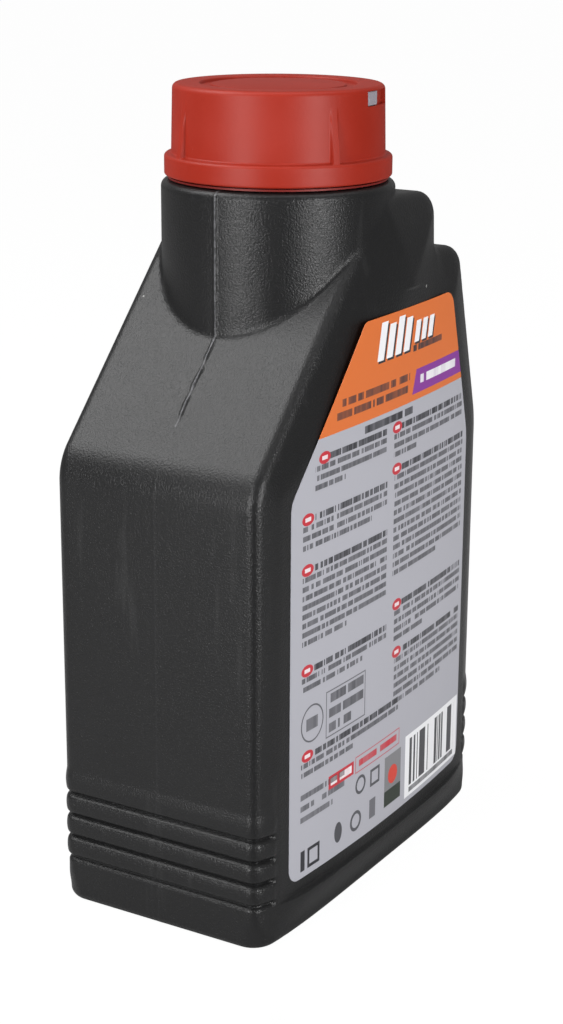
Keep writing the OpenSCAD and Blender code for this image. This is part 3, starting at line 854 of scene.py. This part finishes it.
def thread_tree():
    """Screw thread: a spiral on which a blunt ridge is swept, with named sizes"""
    group = bpy.data.node_groups.new("screw_thread", "GeometryNodeTree")
    for name, kind in (("Radius", "NodeSocketFloat"), ("Turns", "NodeSocketFloat"),
                       ("Lead", "NodeSocketFloat"), ("Ridge", "NodeSocketFloat"),
                       ("Start height", "NodeSocketFloat"), ("Start angle", "NodeSocketFloat"),
                       ("Material", "NodeSocketMaterial")):
        group.interface.new_socket(name, in_out="INPUT", socket_type=kind)
    group.interface.new_socket("Mesh", in_out="OUTPUT", socket_type="NodeSocketGeometry")
    t = Tree(group)
    given = group.nodes.new("NodeGroupInput")
    size = {s.name: Value(t, s) for s in given.outputs if s.name}
    spiral = t.node("GeometryNodeCurveSpiral", {}, {
        "Resolution": 72, "Rotations": size["Turns"], "Start Radius": size["Radius"],
        "End Radius": size["Radius"], "Height": size["Lead"] * size["Turns"], "Reverse": True})
    ridge = t.node("GeometryNodeCurvePrimitiveCircle", {"mode": "RADIUS"},
                   {"Resolution": 10, "Radius": size["Ridge"]})
    swept = t.node("GeometryNodeCurveToMesh", {}, {
        "Curve": spiral, "Profile Curve": ridge, "Fill Caps": True})
    offset = t.node("ShaderNodeCombineXYZ", {}, {0: NECK_X, 2: size["Start height"]})
    turned = t.node("ShaderNodeCombineXYZ", {}, {2: size["Start angle"]})
    moved = t.node("GeometryNodeTransform", {}, {
        "Geometry": swept, "Translation": offset, "Rotation": turned})
    smooth = t.node("GeometryNodeSetShadeSmooth", {}, {"Geometry": moved})
    real = t.node("GeometryNodeRealizeInstances", {}, {"Geometry": smooth})
    painted = t.node("GeometryNodeSetMaterial", {}, {"Geometry": real, "Material": size["Material"]})
    t.node("NodeGroupOutput", {}, {"Mesh": painted})
    return group


def grown(name, group, **values):
    """Runs a node tree with these named sizes and keeps the result as a plain mesh"""
    obj = bpy.data.objects.new(name, bpy.data.meshes.new(name))
    bpy.context.scene.collection.objects.link(obj)
    modifier = obj.modifiers.new(name, "NODES")
    modifier.node_group = group
    sockets = {s.name: s.identifier for s in group.interface.items_tree if s.in_out == "INPUT"}
    for key, value in values.items():
        modifier[sockets[key.replace("_", " ")]] = value
    applied(obj)
    if not obj.data.polygons:
        raise RuntimeError(f"{name} came out empty")
    return obj


class OIL_OT_threads(bpy.types.Operator):
    """Makes the screw threads of the neck and of the inner cap"""
    bl_idname = "oil_bottle.threads"
    bl_label = "Screw threads"

    def execute(self, context):
        neck, colours = context.scene.oil_neck, context.scene.oil_colours
        group = thread_tree()
        liner_r = (LINER_HIGH.x - NECK_X) - 1.3 * MM
        for name, radius, start, body, slot, material in (
                ("neck_thread", neck.finish_r, neck.neck_start_z, "bottle", "black_bottle",
                 bpy.data.materials["black_bottle_plastic"]),
                ("cap_thread", liner_r, neck.neck_start_z - neck.lead / 2, "cap", "grey_cap",
                 moulded_plastic("cap_thread_plastic", colours.grey))):
            made = grown(name, group, Radius=radius, Turns=neck.turns, Lead=neck.lead,
                         Ridge=neck.thread_h, Start_height=start, Start_angle=0.0, Material=material)
            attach(made, body)
        return {"FINISHED"}


def cap_outline(c):
    """Closed (r, z) outline of the outer cap"""
    foot, top = CAP_LOW.z, CAP_HIGH.z
    recess, disc_r = top - c.recess_depth, c.recess_r - c.ring_w
    inner_r, band_in = c.top_r - c.wall, c.band_r - c.band_wall
    points = [(band_in, foot), (c.band_r, foot), (c.band_r, foot + c.band_h - 0.2 * MM),
              (c.top_r + c.draft, foot + c.band_h + 0.1 * MM), (c.top_r, top), (c.recess_r, top),
              (c.recess_r - 0.2 * MM, recess), (disc_r + 0.2 * MM, recess), (disc_r, recess + c.disc_h),
              (0, recess + c.disc_h), (0, top - c.top_t), (inner_r, top - c.top_t),
              (inner_r, foot + c.band_h - c.wall), (band_in, foot + c.band_h - c.wall)]
    radii = [0.2, 0.5, 0.9, 0.5, c.edge_r / MM, 0.5, 0.2, 0.15, 0.3, 0, 0, 0.3, 0.2, 0.2]
    rounded = fillet(points, [r * MM for r in radii], 15)
    found = []
    for a, b in zip(rounded, rounded[1:] + rounded[:1]):
        steps = max(1, math.ceil(math.dist(a, b) / (0.8 * MM))) if a[0] > inner_r + 1 * MM else 1
        across, up = b[0] - a[0], b[1] - a[1]
        found += [(a[0] + across * k / steps, a[1] + up * k / steps) for k in range(steps)]
    return found


def sector(name, start, span, inner, outer, low, high):
    """Closed wedge between two directions and two radii"""
    steps = 14
    points, faces = [], []
    for k in range(steps + 1):
        t = start + span * k / steps
        for r, z in ((inner, low), (outer, low), (outer, high), (inner, high)):
            points.append((NECK_X + r * math.cos(t), r * math.sin(t), z))
        if k:
            a, b = 4 * (k - 1), 4 * k
            faces += [(a + i, b + i, b + (i + 1) % 4, a + (i + 1) % 4) for i in range(4)]
    faces += [(0, 1, 2, 3), tuple(4 * steps + i for i in (3, 2, 1, 0))]
    obj = new_object(name, points, faces, False)
    outward(obj)
    return obj


def turn_between(a, b):
    """Angle between two directions, whichever way round is shorter"""
    return abs((a - b + math.pi) % (2 * math.pi) - math.pi)


class OIL_OT_cap(bpy.types.Operator):
    """Makes the red outer cap"""
    bl_idname = "oil_bottle.cap"
    bl_label = "Outer cap"

    def execute(self, context):
        c = context.scene.oil_cap
        ribs = [c.rib_angle + math.pi / 2 * k for k in range(4)]
        near = math.radians(4)
        angles = set(turns_of(300))
        for rib in ribs:
            angles = {t for t in angles if turn_between(t, rib) > near}
            angles |= {(rib + near * k / 12) % (2 * math.pi) for k in range(-12, 13)}
        foot, top = CAP_LOW.z + c.band_h, CAP_HIGH.z - c.rib_drop
        soft = 0.35 * MM

        def radius(turn, r, z):
            rise = np.clip((z - foot + 0.6 * MM) / (top - foot), 0, 1)
            wedge = c.band_r - 0.35 * MM + (c.top_r + c.draft - c.band_r + 0.2 * MM) * rise
            out = np.where((r > c.top_r - 0.2 * MM) & (z < top) & (z > foot - 0.5 * MM),
                           np.maximum(wedge - r, 0), 0)
            shown = sum(ramp((c.rib_t / 2 - c.top_r * turn_between(turn, rib)) / soft + 0.5) for rib in ribs)
            return r + out * shown

        cap = lathe("cap_shell", cap_outline(c), sorted(angles), radius, 32)
        low = CAP_HIGH.z - c.window_drop - c.window_h
        combine(cap, sector("window", c.window_start, c.window_span, c.top_r - c.window_depth,
                            c.band_r + MM, low, low + c.window_h), "DIFFERENCE")
        combine(cap, sector("slot", c.window_start, c.slot_span, c.top_r - c.wall - MM,
                            c.band_r + MM, low, CAP_HIGH.z - c.top_t - 0.3 * MM), "DIFFERENCE")
        finish_mesh(cap, True, 32)
        gap = math.radians(0.7)
        tab = sector("cap_tab", c.window_start + gap, c.slot_span - 2 * gap, c.top_r - c.wall - 0.2 * MM,
                     c.top_r - 0.35 * MM, low + 0.2 * MM, low + c.window_h - 0.2 * MM)
        put_material(tab, moulded_plastic("cap_tab_plastic", context.scene.oil_colours.grey))
        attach(tab, "cap")
        put_material(cap, moulded_plastic("red_cap_plastic", context.scene.oil_colours.red, 0.4, 0.22))
        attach(cap, "cap")
        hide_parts("outer_cap")
        return {"FINISHED"}


class OIL_OT_seals(bpy.types.Operator):
    """Finishes the tamper ring, the inner cap and the sealing wad"""
    bl_idname = "oil_bottle.seals"
    bl_label = "Ring and seals"

    def execute(self, context):
        c = context.scene.oil_colours
        # The tamper ring gets the darker red, painted shade under the cap's band
        for node, tone, rough in (("tamper_ring", c.shaded_ring_red, 0.4), ("inner_cap", c.grey, 0.42),
                                  ("sealing_wad", c.foam, 0.75)):
            put_material(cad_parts[node], moulded_plastic(node + "_plastic", tone, rough))
        return {"FINISHED"}


def label_outline(s):
    """Outline of a label across and up"""
    left, right, foot, top = LABEL_LOW.x, LABEL_HIGH.x, LABEL_LOW.z, LABEL_HIGH.z

    def slope(z=None, x=None):
        if z is None:
            return (x, s.slope_at + (x - s.slope_x) * math.tan(s.slope_angle))
        return (s.slope_x + (z - s.slope_at) / math.tan(s.slope_angle), z)

    def lean(z=None, x=None):
        if z is None:
            return (x, s.lean_at - (x - s.lean_x) / math.tan(s.lean_angle))
        return (s.lean_x - (z - s.lean_at) * math.tan(s.lean_angle), z)

    points = [(left, foot), (right, foot), lean(x=right), lean(z=top), slope(z=top), slope(x=left)]
    return fillet(points, [s.foot_r, s.foot_r, 14 * MM, 5 * MM, 2.5 * MM, 6 * MM], 6)


def make_label(name, s, detail, side):
    """Curved film on the panel of the given side, as a grid between the outline's two edges"""
    outline = np.array(label_outline(s))
    low, high = outline[:, 1].min(), outline[:, 1].max()
    near = [k * 0.12 * MM for k in range(34)] + [k * 2 * MM for k in range(3, 100)]
    zs = sorted({round(z, 7) for k in near for z in (low + k, high - k) if low <= z <= high})
    middle = (outline[:, 0].min() + outline[:, 0].max()) / 2
    closed = np.vstack([outline, outline[:1]])
    columns, rows = 48, []
    for z in zs:
        z = min(max(z, low + 1e-6), high - 1e-6)
        cross = []
        for (xa, za), (xb, zb) in zip(closed[:-1], closed[1:]):
            if (za - z) * (zb - z) <= 0 and za != zb:
                cross.append(xa + (xb - xa) * (z - za) / (zb - za))
        a, b = (min(cross), max(cross)) if cross else (middle, middle)
        rows.append([(a + (b - a) * k / columns, z) for k in range(columns + 1)])
    flat = np.array(rows).reshape(-1, 2)
    y = BODY_HIGH.y - detail.panel_depth - detail.panel_fall * (flat[:, 0] / detail.panel_half) ** 2
    inner = np.stack([flat[:, 0], side * (y + 0.004 * MM), flat[:, 1]], -1)
    outer = inner + [0, side * s.film, 0]
    wide, tall, n = columns + 1, len(rows), len(flat)
    quads = []
    for i in range(tall - 1):
        for j in range(columns):
            a = i * wide + j
            face = (a, a + 1, a + wide + 1, a + wide)
            quads += [tuple(k + n for k in face), face[::-1]]
    rim = (list(range(wide)) + [i * wide + columns for i in range(1, tall)]
           + [(tall - 1) * wide + j for j in range(columns - 1, -1, -1)]
           + [i * wide for i in range(tall - 2, 0, -1)])
    quads += [(a, b, b + n, a + n) for a, b in zip(rim, rim[1:] + rim[:1])]
    if side > 0:
        quads = [q[::-1] for q in quads]
    return new_object(name, np.vstack([inner, outer]), quads, True, 40)


class OIL_OT_labels(bpy.types.Operator):
    """Makes the printed film of both wide sides"""
    bl_idname = "oil_bottle.labels"
    bl_label = "Labels"

    def execute(self, context):
        scene = context.scene
        for node, side, printed in (("back_label", -1, back_print), ("front_label", 1, front_print)):
            made = make_label(node + "_film", scene.oil_label, scene.oil_detail, side)
            put_material(made, printed(scene.oil_label, scene.oil_colours))
            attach(made, "bottle")
            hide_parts(node)
        return {"FINISHED"}


# Stage


class StageSettings(bpy.types.PropertyGroup):
    """Camera, floor and lights"""
    eye: place("Eye", (-0.4389, -0.2625, 0.2483), "Place of the camera")
    aim: place("Aim", (0.0013, 0, 0.09329), "Point that the camera looks at")
    roll: angle("Roll", 0.32, "Roll of the camera about its view")
    lens: number("Lens", 71.99, "Focal length in millimetres on a 36 mm sensor")
    ambient: number("Ambient", 0.26, "Strength of the even light from all round")
    floor_tone: colour("Floor", (0.45, 0.45, 0.45), "Colour of the floor away from the camera's own rays")


# Soft lamps as (name, direction round the bottle, height, distance, width, height of the lamp, watts)
LAMPS = [
    ("left_strip", -96, 6, 0.7, 0.1, 0.5, 3.7),
    ("right_strip", -20, 6, 0.7, 0.1, 0.5, 4.2),
    ("back_left", -146, 54, 0.9, 0.6, 0.55, 6.7),
    ("overhead", 20, 75, 1.0, 0.7, 0.7, 3.5),
]


# Directions along and across the floor's dark wedge
WEDGE_WAY, WEDGE_SIDE = (-0.857, -0.515, 0), (0.515, -0.857, 0)


def studio_world(ambient):
    """White to the camera's own rays, and a plain grey light to the rest"""
    world = bpy.data.worlds.new("studio")
    world.use_nodes = True
    bpy.context.scene.world = world
    world.node_tree.nodes.clear()
    t = Tree(world.node_tree)
    path = t.node("ShaderNodeLightPath").socket.node
    camera = Value(t, path.outputs["Is Camera Ray"])
    through = Value(t, path.outputs["Is Transmission Ray"])
    light = t.node("ShaderNodeBackground", {}, {"Color": (1, 1, 1, 1), "Strength": ambient})
    white = t.node("ShaderNodeBackground", {}, {"Color": (1, 1, 1, 1), "Strength": 1})
    mixed = t.node("ShaderNodeMixShader", {}, {0: camera.most(through), 1: light, 2: white})
    t.node("ShaderNodeOutputWorld", {}, {"Surface": mixed})


def floor_material(tone):
    """Pale floor that keeps the shadow, with a dark wedge before the near edge for the plastic to mirror"""
    material = bpy.data.materials.new("pale_floor")
    material.use_nodes = True
    material.node_tree.nodes.clear()
    t = Tree(material.node_tree)
    path = t.node("ShaderNodeLightPath").socket.node
    camera = Value(t, path.outputs["Is Camera Ray"])
    spot = t.node("ShaderNodeTexCoord", output="Object")
    dot = {"operation": "DOT_PRODUCT"}
    along, across = (t.node("ShaderNodeVectorMath", dot, {0: spot, 1: way}, "Value")
                     for way in (WEDGE_WAY, WEDGE_SIDE))
    spread = (abs(across) + 0.03) / along.most(0.03)
    plain = t.node("ShaderNodeBsdfDiffuse", {}, {"Color": tuple(tone)})
    dark = t.node("ShaderNodeBsdfDiffuse", {}, {"Color": tuple(c * 0.15 for c in tone)})
    ground = t.node("ShaderNodeMixShader", {}, {0: ((spread - 0.2) * 3).clamped(), 1: dark, 2: plain})
    white = t.node("ShaderNodeEmission", {}, {"Color": (1, 1, 1, 1), "Strength": 1.06})
    mixed = t.node("ShaderNodeMixShader", {}, {0: camera * 0.92, 1: ground, 2: white})
    t.node("ShaderNodeOutputMaterial", {}, {"Surface": mixed})
    return material


class OIL_OT_stage(bpy.types.Operator):
    """Sets the camera, the floor and the lights"""
    bl_idname = "oil_bottle.stage"
    bl_label = "Stage"

    def execute(self, context):
        scene, s = context.scene, context.scene.oil_stage
        camera = bpy.data.objects.new("camera", bpy.data.cameras.new("camera"))
        scene.collection.objects.link(camera)
        view = Vector(s.aim) - Vector(s.eye)
        turn = view.to_track_quat("-Z", "Y").to_matrix() @ Matrix.Rotation(s.roll, 3, "Z")
        camera.matrix_world = Matrix.Translation(s.eye) @ turn.to_4x4()
        camera.data.lens, camera.data.sensor_width = s.lens, 36
        camera.data.clip_start, camera.data.clip_end = 0.01, 60
        scene.camera = camera
        half = 14
        corners = [(-half, -half, 0), (half, -half, 0), (half, half, 0), (-half, half, 0)]
        floor = new_object("floor", corners, [(0, 1, 2, 3)], False)
        put_material(floor, floor_material(s.floor_tone))
        centre = Vector((0, 0, 0.1))
        for name, bearing, height, distance, width, tall, watts in LAMPS:
            lamp = bpy.data.lights.new(name, "AREA")
            lamp.shape, lamp.size, lamp.size_y, lamp.energy = "RECTANGLE", width, tall, watts
            obj = bpy.data.objects.new(name, lamp)
            scene.collection.objects.link(obj)
            a, e = math.radians(bearing), math.radians(height)
            away = Vector((math.sin(a) * math.cos(e), -math.cos(a) * math.cos(e), math.sin(e)))
            obj.location = centre + away * distance
            obj.rotation_euler = away.to_track_quat("Z", "Y").to_euler()
        studio_world(s.ambient)
        scene.view_settings.view_transform = "Standard"
        return {"FINISHED"}


class OIL_PT_panel(bpy.types.Panel):
    """Lists the pieces of the bottle"""
    bl_idname = "OIL_PT_panel"
    bl_label = "Oil bottle"
    bl_space_type = "VIEW_3D"
    bl_region_type = "UI"
    bl_category = "Oil bottle"

    def draw(self, context):
        for operator in OPERATORS:
            self.layout.operator(operator.bl_idname)


SETTINGS = {"oil_shell": ShellSizes, "oil_detail": DetailSizes, "oil_neck": NeckSizes, "oil_cap": CapSizes,
            "oil_label": LabelSizes, "oil_colours": Colours, "oil_stage": StageSettings}
OPERATORS = [OIL_OT_shell, OIL_OT_threads, OIL_OT_cap, OIL_OT_seals, OIL_OT_labels, OIL_OT_stage]


def register():
    for cls in [*SETTINGS.values(), *OPERATORS, OIL_PT_panel]:
        bpy.utils.register_class(cls)
    for name, cls in SETTINGS.items():
        setattr(bpy.types.Scene, name, bpy.props.PointerProperty(type=cls))


def unregister():
    for name in SETTINGS:
        delattr(bpy.types.Scene, name)
    for cls in [OIL_PT_panel, *reversed(OPERATORS), *SETTINGS.values()]:
        bpy.utils.unregister_class(cls)


def main():
    register()
    for operator in OPERATORS:
        getattr(bpy.ops.oil_bottle, operator.bl_idname.split(".")[1])()


if __name__ == "__main__":
    main()
